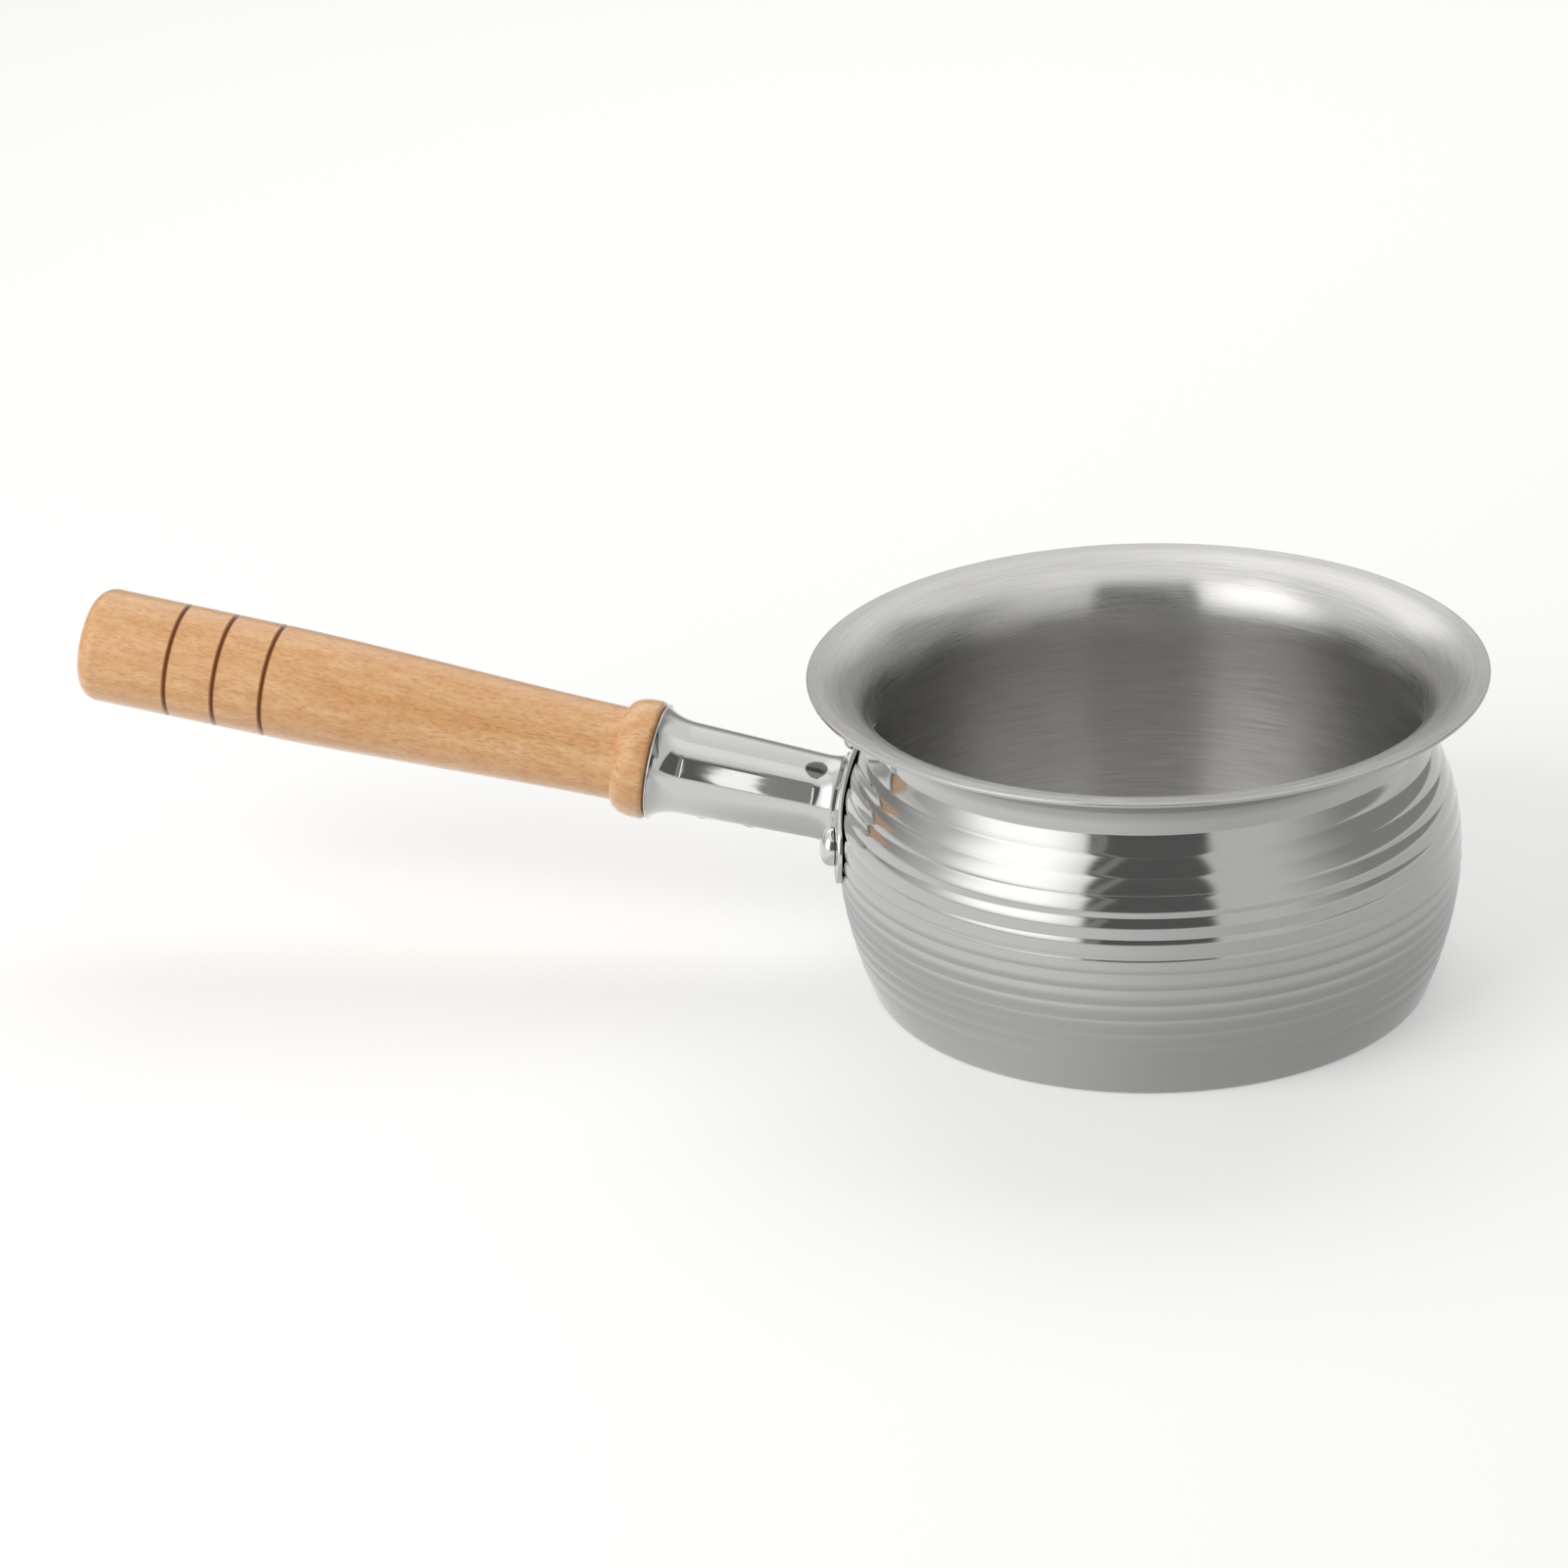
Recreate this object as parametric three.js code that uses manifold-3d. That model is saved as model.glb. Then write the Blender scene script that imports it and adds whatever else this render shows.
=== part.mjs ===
// Saucepan: a bellied steel pan with rolled ribs, and a turned wooden handle in a riveted socket.
// Millimetres, +Z up. The origin is the middle of the base, and the handle points along -X.

import * as THREE from 'three';
import { ConvexGeometry } from 'three/addons/geometries/ConvexGeometry.js';
import { mergeVertices } from 'three/addons/utils/BufferGeometryUtils.js';
import Module from 'manifold-3d';

const wasm = await Module();
wasm.setup();

// Driving dimensions in millimetres. Slopes and turns are in degrees, and fullness is a ratio.

const clearance = 0.3; // gap between two pieces that seat on each other

// Pan body
const sheet = 1; // thickness of the wall and base
const rimRadius = 85;
const rimHeight = 83.35;
const rimReach = 15.5; // how far the rim stands out over the neck
const lipSlope = 5; // rise of the lip above level
const flareRadius = 13.3; // outside bend between neck and lip
const neckLength = 0.25; // straight stretch between shoulder and flare
const shoulderStep = 9.15; // how far the belly stands out over the neck
const bellyHeight = 36; // where the wall is widest
const baseStep = 7.6; // how far the belly stands out over the base
const baseCorner = 1.2; // rounding between base and wall
const lowerFullness = 0.55; // share of the belly's height where the lower curve bends most
const shoulderFullness = 0.62; // share of the shoulder that still follows the belly
const neckFullness = 0.22; // share of the shoulder that already follows the neck
const neckCrease = 6; // turn of the wall where the shoulder meets the neck

// Ribs rolled into the outside of the wall
const ribDepth = 0.27;
const lowerRibs = 7;
const upperRibs = 6;
const ribStart = 10.7; // height of the lowest groove
const ribBelt = 3.85; // from the widest point up to the groove where the wider ribs begin
const ribRunOut = 1.5; // plain wall that fades into the first and the last groove

// Handle line
const rootHeight = 42; // where the handle's axis meets the plate
const handleRise = 9.65;

// Socket sleeve, measured along the handle from the plate's face
const socketLength = 48.4;
const socketWall = 1;
const socketRootRadius = 10.95;
const socketMouthRadius = 12;
const socketLipRadius = 15;
const socketLipLength = 8.5; // stretch of the sleeve that flares
const socketLipFullness = 0.67; // share of the flare that still follows the taper
const socketFootRadius = 12.8;
const socketFootEdge = 0.8; // height of the foot's rim over the plate
const socketFootLength = 4.6; // stretch of the sleeve that runs into the foot

// Rivets
const rivetHeadRadius = 5;
const rivetHeadHeight = 3.4;
const rivetShankRadius = 2.5;
const rivetTailRadius = 4.4;
const rivetTailHeight = 1.4;
const rivetTailChamfer = 0.7;
const rivetDrop = 3.05; // of the two side rivets below the handle's axis
const rivetSideGap = 3.7; // between the foot and the head of a side rivet
const rivetTopGap = 0.8; // between the foot and the head of the top rivet

// Rivet plate
const plateThickness = 1;
const plateSideMargin = 4.4; // metal around the side rivets' heads
const plateTopMargin = 1.5; // metal around the top rivet's head
const plateFootMargin = 0.9; // metal around the sleeve's foot

// Wooden grip
const gripLength = 153.9; // from the sleeve's mouth to the butt
const collarRadius = 15.5;
const collarLength = 9.3;
const collarRounding = 1.5;
const collarFall = 6.2; // length of the step from the collar down to the waist
const waistRadius = 12.25;
const swellFullness = 0.25; // share of the swell that runs level at each of its ends
const grooveRadius = 14.8; // of the grip at the groove nearest the collar
const buttRadius = 14.95;
const buttRounding = 5;
const grooveCount = 3;
const groovePitch = 13;
const grooveWidth = 1.3;
const grooveDepth = 0.8;
const grooveFromButt = 25; // from the last groove to the end of the grip
const tenonLength = 35;

// Screws that hold the grip
const screwNames = ['handle_screw_outer', 'handle_screw_inner'];
const screwFromMouth = 13.4; // of the outer screw
const screwPitch = 12.5;
const screwHeadRadius = 2.6;
const screwHeadHeight = 1;
const screwShankRadius = 1.5;
const screwLength = 9;
const screwTip = 2;

// Finishes
const spunSteel = { color: 0xb8babb, roughness: 0.3, metalness: 1 };
const polishedSteel = { color: 0xc9cbcb, roughness: 0.12, metalness: 1 };
const fastenerSteel = { color: 0xc9cbcb, roughness: 0.2, metalness: 1 };
const lacqueredBeech = { color: 0xd8a267, roughness: 0.42, metalness: 0 };

// Facets around a turned piece
const panSegments = 48;
const plateSegments = 120;
const handleSegments = 28;
const rivetSegments = 16;
const screwSegments = 12;

// Facets along a profile
const cornerSteps = 3;
const bendSteps = 5;
const swellSteps = 6;
const plateSteps = 14;
const outlineSteps = 24; // around each corner of the plate
const ribSteps = [0, 0.3, 0.7]; // as shares of a rib's width
const mergeTolerance = 1e-4;

const degree = Math.PI / 180;
const point = (radius, height) => new THREE.Vector2(radius, height);

// Solids

function solidOf(geometry) {
  const bare = geometry.clone();
  bare.deleteAttribute('normal');
  bare.deleteAttribute('uv');
  const merged = mergeVertices(bare, mergeTolerance);
  const corners = merged.index.array;
  const triangles = [];
  for (let i = 0; i < corners.length; i += 3) {
    const [a, b, c] = corners.slice(i, i + 3);
    if (a !== b && b !== c && c !== a) triangles.push(a, b, c);
  }
  return new wasm.Manifold(new wasm.Mesh({
    numProp: 3,
    vertProperties: merged.attributes.position.array,
    triVerts: new Uint32Array(triangles),
  }));
}

function geometryOf(solid) {
  const mesh = solid.getMesh();
  const geometry = new THREE.BufferGeometry();
  geometry.setAttribute('position', new THREE.BufferAttribute(mesh.vertProperties, 3));
  geometry.setIndex(new THREE.BufferAttribute(mesh.triVerts, 1));
  geometry.computeVertexNormals();
  return geometry;
}

// A profile of (radius, height) turned about Z. It runs up the outside and down the inside.
function turned(profile, segments, placement = new THREE.Matrix4()) {
  const geometry = new THREE.LatheGeometry(profile, segments);
  geometry.rotateX(Math.PI / 2);
  geometry.applyMatrix4(placement);
  return solidOf(geometry);
}

// A straight round drill along Z between two heights.
function drill(radius, low, high, segments, placement) {
  const profile = [point(0, low), point(radius, low), point(radius, high), point(0, high)];
  return turned(profile, segments, placement);
}

function piece(name, solid, finish) {
  const mesh = new THREE.Mesh(geometryOf(solid), new THREE.MeshStandardMaterial(finish));
  mesh.name = name;
  return mesh;
}

// The wall's outside as one path of (radius, height), from the middle of the base to the rim's edge

const lip = lipSlope * degree;
const neckRadius = rimRadius - rimReach;
const bellyRadius = neckRadius + shoulderStep;
const baseRadius = bellyRadius - baseStep;
const rimEdge = point(rimRadius, rimHeight - sheet * Math.cos(lip));
const lipStartRadius = neckRadius + flareRadius * (1 - Math.sin(lip));
const lipStart = point(lipStartRadius, rimEdge.y - (rimRadius - lipStartRadius) * Math.tan(lip));
const neckTop = point(neckRadius, lipStart.y - flareRadius * Math.cos(lip));
const neckFoot = point(neckRadius, neckTop.y - neckLength);
const belly = point(bellyRadius, bellyHeight);
const shoulderRise = neckFoot.y - bellyHeight;
const neckPull = neckFullness * shoulderRise;
const baseEdge = point(baseRadius, 0);
const lowerPull = point(bellyRadius, lowerFullness * bellyHeight);
const wallFoot = lowerPull.clone().sub(baseEdge).setLength(baseCorner).add(baseEdge);
const baseRim = point(baseRadius - baseCorner, 0);

const wall = new THREE.CurvePath();
wall.add(new THREE.LineCurve(point(0, 0), baseRim));
wall.add(new THREE.QuadraticBezierCurve(baseRim, baseEdge, wallFoot));
wall.add(new THREE.QuadraticBezierCurve(wallFoot, lowerPull, belly));
wall.add(new THREE.CubicBezierCurve(
  belly,
  point(bellyRadius, bellyHeight + shoulderFullness * shoulderRise),
  point(neckRadius + neckPull * Math.tan(neckCrease * degree), neckFoot.y - neckPull),
  neckFoot,
));
wall.add(new THREE.LineCurve(neckFoot, neckTop));
wall.add(new THREE.EllipseCurve(
  neckRadius + flareRadius, neckTop.y, flareRadius, flareRadius, Math.PI, Math.PI / 2 + lip, true,
));
wall.add(new THREE.LineCurve(lipStart, rimEdge));

// Stations are distances along that path.
const wallEnds = wall.getCurveLengths();
const [baseEnd, cornerEnd, bellyEnd, shoulderEnd, neckEnd, flareEnd, rimEnd] = wallEnds;

function wallAt(station) {
  const share = station / rimEnd;
  const along = wall.getTangent(share);
  return { at: wall.getPoint(share), out: point(along.y, -along.x) };
}

function wallOffset(station, distance) {
  const { at, out } = wallAt(station);
  return at.clone().addScaledVector(out, distance);
}

function stationAtHeight(height) {
  let low = baseEnd;
  let high = rimEnd;
  while (high - low > mergeTolerance) {
    const middle = (low + high) / 2;
    if (wallAt(middle).at.y < height) low = middle;
    else high = middle;
  }
  return high;
}

// Evenly spaced stations after the first one, up to and with the last.
function spread(from, to, count) {
  return Array.from({ length: count }, (_, i) => from + (to - from) * (i + 1) / count);
}

// The place on the wall's outside that lies a given way to the side of the handle, and its outward normal.
function wallSpot(side, height) {
  const { at, out } = wallAt(stationAtHeight(height));
  const place = new THREE.Vector3(-Math.sqrt(at.x ** 2 - side ** 2), side, height);
  const normal = new THREE.Vector3(place.x / at.x * out.x, place.y / at.x * out.x, out.y);
  return { place, normal };
}

// Rivet places, shared by the rivets, the plate and the holes

const plateFace = clearance + plateThickness; // of the plate's outside over the wall
const rivetSide = socketFootRadius + rivetSideGap + rivetHeadRadius;
const rivetLow = rootHeight - rivetDrop;
const rivetHigh = rootHeight + socketFootRadius + rivetTopGap + rivetHeadRadius;
const rivetSpots = [
  { name: 'rivet_front', side: -rivetSide, height: rivetLow },
  { name: 'rivet_rear', side: rivetSide, height: rivetLow },
  { name: 'rivet_top', side: 0, height: rivetHigh },
];

// How far the wall, offset by some distance, stands along its own normal under a flat round face there:
// at the face's middle, at its upper and lower edge, and at its sides, where the round wall falls back.
function risesUnder(radius, height, distance) {
  const station = stationAtHeight(height);
  const { at, out } = wallAt(station);
  const fallBack = Math.sqrt(at.x ** 2 - radius ** 2) - at.x;
  const spots = [-radius, 0, radius].map((step) => wallOffset(station + step, distance));
  spots.push(wallOffset(station, distance).add(point(fallBack, 0)));
  return spots.map((spot) => spot.sub(at).dot(out));
}

function rivetPlacement({ side, height }) {
  const { place, normal } = wallSpot(side, height);
  const turn = new THREE.Quaternion().setFromUnitVectors(new THREE.Vector3(0, 0, 1), normal);
  return new THREE.Matrix4().compose(place, turn, new THREE.Vector3(1, 1, 1));
}

function drilledForRivets(solid) {
  const reach = rivetHeadRadius + plateFace + sheet;
  const radius = rivetShankRadius + clearance;
  return rivetSpots.reduce(
    (left, spot) => left.subtract(drill(radius, -reach, reach, rivetSegments, rivetPlacement(spot))),
    solid,
  );
}

// Pan body

// Ribs bulge between grooves: each falls off as the square of the distance from its crest.
function ribbedStretch() {
  const low = stationAtHeight(ribStart);
  const belt = stationAtHeight(bellyHeight + ribBelt);
  const high = shoulderEnd;
  const grooves = [low, ...spread(low, belt, lowerRibs), ...spread(belt, high, upperRibs)];
  const stretch = [wallOffset(low - ribRunOut, 0)];
  for (let rib = 0; rib + 1 < grooves.length; rib++) {
    const width = grooves[rib + 1] - grooves[rib];
    for (const step of ribSteps) {
      stretch.push(wallOffset(grooves[rib] + step * width, -ribDepth * (2 * step - 1) ** 2));
    }
  }
  stretch.push(wallOffset(high, -ribDepth), wallOffset(high + ribRunOut, 0));
  return stretch;
}

function panBody() {
  const base = [0, baseEnd, ...spread(baseEnd, cornerEnd, cornerSteps)];
  const rim = [...spread(neckEnd, flareEnd, bendSteps), rimEnd];
  const outside = [
    ...base.map((station) => wallOffset(station, 0)),
    ...ribbedStretch(),
    ...[neckEnd, ...rim].map((station) => wallOffset(station, 0)),
  ];
  const inside = [
    0,
    baseEnd - sheet,
    cornerEnd + sheet,
    ...spread(cornerEnd + sheet, bellyEnd, bendSteps),
    ...spread(bellyEnd, shoulderEnd, bendSteps),
    neckEnd,
    ...rim,
  ];
  const lining = inside.map((station) => wallOffset(station, -sheet)).reverse();
  return drilledForRivets(turned([...outside, ...lining], panSegments));
}

// Rivet plate: a shell that follows the wall, cut to a rounded three-cornered outline

function plateOutline() {
  const sideRadius = rivetHeadRadius + plateSideMargin;
  return [
    { side: -rivetSide, height: rivetLow, radius: sideRadius },
    { side: rivetSide, height: rivetLow, radius: sideRadius },
    { side: 0, height: rivetHigh, radius: rivetHeadRadius + plateTopMargin },
    { side: 0, height: rootHeight, radius: socketFootRadius + plateFootMargin },
  ];
}

function plateBlank(circles) {
  const corners = [];
  const near = -neckRadius / 2;
  const far = -2 * bellyRadius;
  for (const { side, height, radius } of circles) {
    for (let step = 0; step < outlineSteps; step++) {
      const angle = step / outlineSteps * 2 * Math.PI;
      const y = side + radius * Math.cos(angle);
      const z = height + radius * Math.sin(angle);
      corners.push(new THREE.Vector3(near, y, z), new THREE.Vector3(far, y, z));
    }
  }
  return solidOf(new ConvexGeometry(corners));
}

function rivetPlate() {
  const circles = plateOutline();
  const low = stationAtHeight(Math.min(...circles.map((c) => c.height - c.radius)) - plateThickness);
  const high = stationAtHeight(Math.max(...circles.map((c) => c.height + c.radius)) + plateThickness);
  const stations = [low, ...spread(low, high, plateSteps)];
  const outside = stations.map((station) => wallOffset(station, plateFace));
  const inside = stations.map((station) => wallOffset(station, clearance)).reverse();
  const shell = turned([...outside, ...inside, outside[0]], plateSegments);
  return drilledForRivets(shell.intersect(plateBlank(circles)));
}

// Rivets: height 0 is the wall's outside, with the domed head above and the flat tail inside the pan

function rivet({ height }) {
  const seat = Math.max(...risesUnder(rivetHeadRadius, height, plateFace)) + clearance;
  const tail = Math.min(...risesUnder(rivetTailRadius, height, -sheet)) - clearance;
  const dome = new THREE.EllipseCurve(0, seat, rivetHeadRadius, rivetHeadHeight, 0, Math.PI / 2);
  const profile = [
    point(0, tail - rivetTailHeight),
    point(rivetTailRadius - rivetTailChamfer, tail - rivetTailHeight),
    point(rivetTailRadius, tail - rivetTailHeight + rivetTailChamfer),
    point(rivetTailRadius, tail),
    point(rivetShankRadius, tail),
    point(rivetShankRadius, seat),
    ...dome.getPoints(bendSteps),
  ];
  profile[profile.length - 1].x = 0;
  return turned(profile, rivetSegments);
}

// Handle, in its own frame: Z runs along the handle from the plate's face, and -X is its underside

const rootWall = wallAt(stationAtHeight(rootHeight)).at;
const handle = new THREE.Group();
handle.position.set(-rootWall.x - plateFace, 0, rootHeight);
handle.rotation.y = handleRise * degree - Math.PI / 2;
handle.updateMatrix();

const sleeveTaper = new THREE.LineCurve(
  point(socketRootRadius, socketFootEdge + socketFootLength),
  point(socketMouthRadius, socketLength - socketLipLength),
);
const flarePull = socketLipFullness * socketLipLength;
const sleeveFlare = new THREE.QuadraticBezierCurve(
  sleeveTaper.v2,
  sleeveTaper.v2.clone().addScaledVector(sleeveTaper.getTangent(1), flarePull),
  point(socketLipRadius, socketLength),
);

function taperRadius(along) {
  const { v1, v2 } = sleeveTaper;
  return v1.x + (along - v1.y) * (v2.x - v1.x) / (v2.y - v1.y);
}

// Points of the sleeve's taper and flare, from a place along it to its mouth, drawn in by some depth.
function sleeveLine(start, depth) {
  const line = [point(taperRadius(start), start), ...sleeveFlare.getPoints(bendSteps)];
  return line.map((p) => point(p.x - depth, p.y));
}

// Screw places: each screw's own Z points out of the handle's underside, and its height 0 is its seat.
const screwSpots = screwNames.map((name, i) => {
  const along = socketLength - screwFromMouth - i * screwPitch;
  const place = new THREE.Vector3(-taperRadius(along) - clearance, 0, along);
  const turn = new THREE.Euler(0, -Math.PI / 2, 0);
  return { name, place, turn };
});

function drilledForScrews(solid) {
  const radius = screwShankRadius + clearance;
  const bottom = -screwLength - screwTip - clearance;
  return screwSpots.reduce((left, { place, turn }) => {
    const placement = new THREE.Matrix4().makeRotationFromEuler(turn).setPosition(place);
    return left.subtract(drill(radius, bottom, screwHeadHeight, screwSegments, placement));
  }, solid);
}

// The space that the plate and the pan take up, with a gap left over the plate, in the handle's frame.
function plateRoom() {
  const reach = 2 * socketFootRadius;
  const low = stationAtHeight(Math.max(rootHeight - reach, baseCorner));
  const high = stationAtHeight(rootHeight + reach);
  const stations = [low, ...spread(low, high, plateSteps)];
  const skin = stations.map((station) => wallOffset(station, plateFace + clearance));
  const profile = [point(0, skin[0].y), ...skin, point(0, skin[skin.length - 1].y)];
  return turned(profile, plateSegments, handle.matrix.clone().invert());
}

function socketSleeve() {
  const sink = -socketFootRadius / 2;
  const start = socketFootEdge + socketFootLength;
  const foot = new THREE.QuadraticBezierCurve(
    point(socketFootRadius, socketFootEdge),
    point(socketRootRadius, socketFootEdge),
    sleeveTaper.v1,
  );
  const bore = socketRootRadius - socketWall;
  const profile = [
    point(socketFootRadius, sink),
    ...foot.getPoints(bendSteps),
    ...sleeveLine(start, 0).slice(1),
    ...sleeveLine(start, socketWall).reverse(),
    point(bore, sink),
    point(socketFootRadius, sink),
  ];
  return drilledForScrews(turned(profile, handleSegments).subtract(plateRoom()));
}

// Wooden grip: tenon, collar, swell from the waist to the grooves, and rounded butt

const gripStart = socketLength + clearance;
const gripEnd = socketLength + gripLength;
const lastGroove = gripEnd - grooveFromButt;
const firstGroove = lastGroove - (grooveCount - 1) * groovePitch;

function gripRadius(along) {
  return grooveRadius + (along - firstGroove) * (buttRadius - grooveRadius) / (gripEnd - firstGroove);
}

function groove(along) {
  const half = grooveWidth / 2;
  return [
    point(gripRadius(along - half), along - half),
    point(gripRadius(along) - grooveDepth, along),
    point(gripRadius(along + half), along + half),
  ];
}

function handleGrip() {
  const tenonEnd = socketLength - tenonLength;
  const tenon = sleeveLine(tenonEnd, socketWall + clearance);
  const collarEnd = gripStart + collarLength;
  const edge = new THREE.EllipseCurve(
    collarRadius - collarRounding, gripStart + collarRounding,
    collarRounding, collarRounding, -Math.PI / 2, 0,
  );
  const fall = new THREE.EllipseCurve(
    waistRadius, collarEnd - collarFall, collarRadius - waistRadius, collarFall, 0, Math.PI / 2,
  );
  const butt = new THREE.EllipseCurve(
    buttRadius - buttRounding, gripEnd - buttRounding, buttRounding, buttRounding, 0, Math.PI / 2,
  );
  const swellPull = swellFullness * (firstGroove - collarEnd);
  const swell = new THREE.CubicBezierCurve(
    point(waistRadius, collarEnd),
    point(waistRadius, collarEnd + swellPull),
    point(grooveRadius, firstGroove - swellPull),
    point(grooveRadius, firstGroove),
  );
  const grooves = Array.from({ length: grooveCount }, (_, i) => groove(firstGroove + i * groovePitch));
  const profile = [
    point(0, tenonEnd),
    ...tenon,
    point(tenon[tenon.length - 1].x, gripStart),
    ...edge.getPoints(cornerSteps),
    ...fall.getPoints(bendSteps),
    ...swell.getPoints(swellSteps).slice(1, -1),
    ...grooves.flat(),
    ...butt.getPoints(bendSteps),
    point(0, gripEnd),
  ];
  return drilledForScrews(turned(profile, handleSegments));
}

function handleScrew() {
  const head = new THREE.EllipseCurve(0, 0, screwHeadRadius, screwHeadHeight, 0, Math.PI / 2);
  const profile = [
    point(0, -screwLength - screwTip),
    point(screwShankRadius, -screwLength),
    point(screwShankRadius, 0),
    ...head.getPoints(cornerSteps),
  ];
  profile[profile.length - 1].x = 0;
  return turned(profile, screwSegments);
}

// Assembly

const saucepan = new THREE.Group();
saucepan.add(piece('pan_body', panBody(), spunSteel));
saucepan.add(piece('rivet_plate', rivetPlate(), polishedSteel));

for (const spot of rivetSpots) {
  const mesh = piece(spot.name, rivet(spot), fastenerSteel);
  mesh.applyMatrix4(rivetPlacement(spot));
  saucepan.add(mesh);
}

handle.add(piece('socket_sleeve', socketSleeve(), polishedSteel));
handle.add(piece('handle_grip', handleGrip(), lacqueredBeech));

for (const { name, place, turn } of screwSpots) {
  const mesh = piece(name, handleScrew(), fastenerSteel);
  mesh.position.copy(place);
  mesh.rotation.copy(turn);
  handle.add(mesh);
}

saucepan.add(handle);

export default saucepan;
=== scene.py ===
# Saucepan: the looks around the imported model.
# Lengths in the dictionaries are millimetres and angles are degrees, as in the part's source.
# Meshes are in metres.
import math
import bpy
import numpy as np
from mathutils import Matrix, Vector


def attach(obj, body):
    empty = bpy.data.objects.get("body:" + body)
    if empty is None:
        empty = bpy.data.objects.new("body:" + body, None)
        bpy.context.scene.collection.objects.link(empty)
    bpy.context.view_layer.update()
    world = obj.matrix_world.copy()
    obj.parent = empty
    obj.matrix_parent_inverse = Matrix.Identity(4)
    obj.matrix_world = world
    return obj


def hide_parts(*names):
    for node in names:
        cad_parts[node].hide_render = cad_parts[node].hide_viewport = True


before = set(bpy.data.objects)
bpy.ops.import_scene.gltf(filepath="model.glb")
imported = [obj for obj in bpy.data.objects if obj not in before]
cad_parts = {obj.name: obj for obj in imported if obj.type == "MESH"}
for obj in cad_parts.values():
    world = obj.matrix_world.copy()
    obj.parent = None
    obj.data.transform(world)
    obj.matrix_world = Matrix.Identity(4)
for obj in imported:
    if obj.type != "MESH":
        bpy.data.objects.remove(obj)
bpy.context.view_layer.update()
mm = 0.001
tiny = 1e-6  # points that are closer than this count as one
print("frame loaded with", len(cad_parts), "nodes")


# Lines and surfaces

# Bernstein sum: every control point weighted by comb(n, k) t^k (1 - t)^(n - k)
def bezier(points, steps):
    points = np.array(points, float)
    top = len(points) - 1
    t = np.linspace(0, 1, steps)[:, None]
    k = np.arange(top + 1)
    counts = np.array([math.comb(top, i) for i in k])
    return (counts * t ** k * (1 - t) ** (top - k)) @ points


# Ellipse: the centre plus each radius times the cosine or sine of the angle
def arc(centre, radii, start, end, steps):
    angle = np.radians(np.linspace(start, end, steps))
    return np.array(centre) + np.array(radii) * np.stack([np.cos(angle), np.sin(angle)], 1)


# Line: even steps from the start to the end
def straight(start, end, steps):
    return np.linspace(np.array(start, float), np.array(end, float), steps)


# Even places between each mark and the next
def spaced(marks, counts):
    return np.concatenate([np.linspace(*stretch) for stretch in zip(marks, marks[1:], counts)])


# Stretches laid end to end, without the points that repeat
def chain(*stretches):
    path = np.vstack(stretches)
    step = np.linalg.norm(np.diff(path, axis=0), axis=1)
    return path[np.r_[True, step > tiny]]


# Smooth step: 3 t^2 - 2 t^3 between 0 and 1
def smooth(t):
    t = np.clip(t, 0, 1)
    return t * t * (3 - 2 * t)


# Running length along a path
def lengths(path):
    return np.r_[0, np.cumsum(np.linalg.norm(np.diff(path, axis=0), axis=1))]


# Surface of revolution: (radius cos a, radius sin a, height), put in place by a matrix
def turned(profile, around, place=Matrix.Identity(4)):
    angle = np.linspace(0, 2 * np.pi, around, endpoint=False)
    radius, height = profile[:, :1], profile[:, 1:]
    grid = np.stack([radius * np.cos(angle), radius * np.sin(angle), height + 0 * angle], -1)
    return placed(grid, place)


# Points turned and moved by a matrix
def placed(grid, place):
    place = np.array(place)
    return grid @ place[:3, :3].T + place[:3, 3]


# Skin over a grid of rows and columns. Columns always close into a ring. With poles the first and the
# last row shrink to one vertex each, and without them the last row closes on the first.
# The UV map has the way along the rows as U and the way around as V, both in metres.
# Edges that bend by more than the crease stay sharp.
def skin(name, grid, along, poles, crease=40):
    grid = np.asarray(grid) * mm
    along = np.asarray(along) * mm
    rows, columns = grid.shape[:2]
    ring = np.arange(columns)
    after = (ring + 1) % columns
    if poles:
        vertices = np.vstack([grid[:1, 0], grid[1:-1].reshape(-1, 3), grid[-1:, 0]])
        index = np.arange((rows - 2) * columns).reshape(rows - 2, columns) + 1
        alongVertex = np.r_[along[0], np.repeat(along[1:-1], columns), along[-1]]
    else:
        vertices = grid.reshape(-1, 3)
        index = np.arange(rows * columns).reshape(rows, columns)
        index = np.vstack([index, index[:1]])
        alongVertex = np.repeat(along, columns)
    quads = np.stack([index[:-1], index[:-1][:, after], index[1:][:, after], index[1:]], -1)
    quads = quads.reshape(-1, 4)
    faces = quads.tolist()
    if poles:
        last = len(vertices) - 1
        faces += np.stack([0 * ring, index[0][after], index[0]], -1).tolist()
        faces += np.stack([index[-1], index[-1][after], 0 * ring + last], -1).tolist()
    mesh = bpy.data.meshes.new(name)
    mesh.from_pydata(vertices.tolist(), [], faces)
    corner = np.empty(len(mesh.loops), np.int32)
    mesh.loops.foreach_get("vertex_index", corner)
    girth = np.linalg.norm(np.diff(grid, axis=1, append=grid[:, :1]), axis=2).sum(1).max()
    whole = len(quads)
    column = np.concatenate([
        np.tile(np.stack([ring, ring + 1, ring + 1, ring], -1).ravel(), whole // columns),
        np.tile(np.stack([ring, ring + 1, ring], -1).ravel(), 2 if poles else 0),
    ])
    uv = np.stack([alongVertex[corner], column / columns * girth], -1)
    mesh.uv_layers.new(name="surface").data.foreach_set("uv", uv.ravel())
    mesh.attributes.new("along", "FLOAT", "POINT").data.foreach_set("value", alongVertex)
    mesh.polygons.foreach_set("use_smooth", np.ones(len(mesh.polygons), bool))
    mesh.set_sharp_from_angle(angle=math.radians(crease))
    mesh.update()
    piece = bpy.data.objects.new(name, mesh)
    bpy.context.scene.collection.objects.link(piece)
    return piece


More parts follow.
